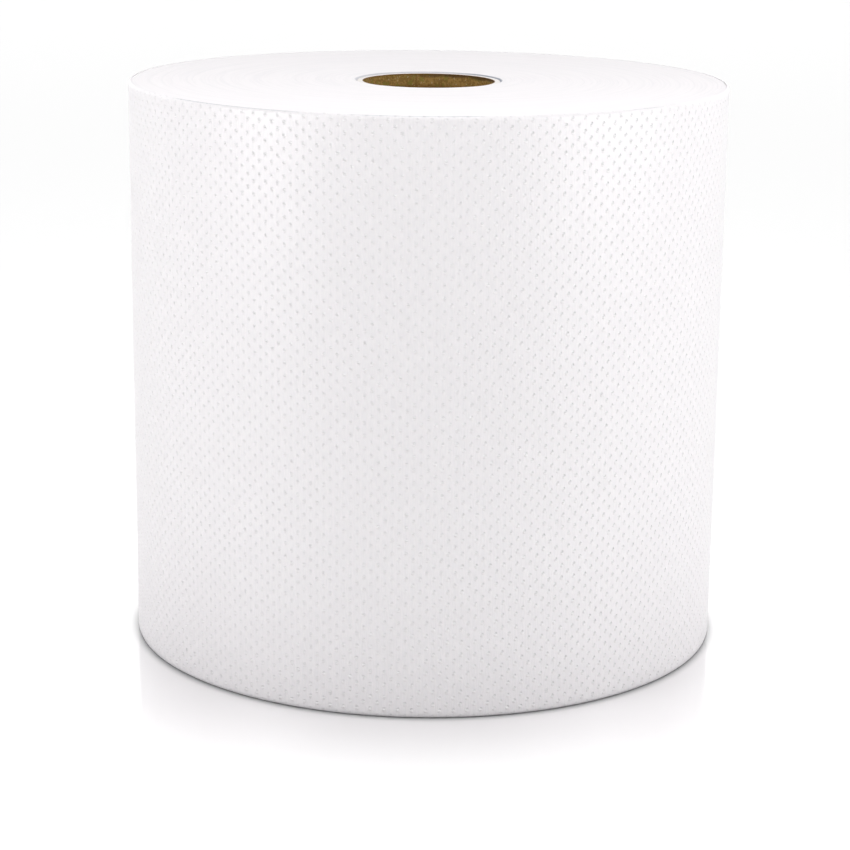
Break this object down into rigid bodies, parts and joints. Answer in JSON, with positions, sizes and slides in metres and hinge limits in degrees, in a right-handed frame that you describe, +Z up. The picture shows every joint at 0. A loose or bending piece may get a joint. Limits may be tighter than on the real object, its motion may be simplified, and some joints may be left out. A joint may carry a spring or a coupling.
{
  "type": "paper towel roll",
  "caption": "Hardwound roll of white embossed paper towel on an open paperboard core, standing on its end.",
  "frame": {"origin": "centre of the base, where the winding axis meets the surface that the roll stands on", "axes": "+Z up along the winding axis and the core's bore, -Y towards the viewer, and the tail of the paper at the back on the +Y side"},
  "size_m": [0.2033, 0.2035, 0.1925],
  "materials": {
    "towel_paper": "matte",
    "core_board": "matte"
  },
  "bodies": {
    "root": {"towel_web": "towel_paper", "core_tube": "core_board"}
  },
  "joints": []
}
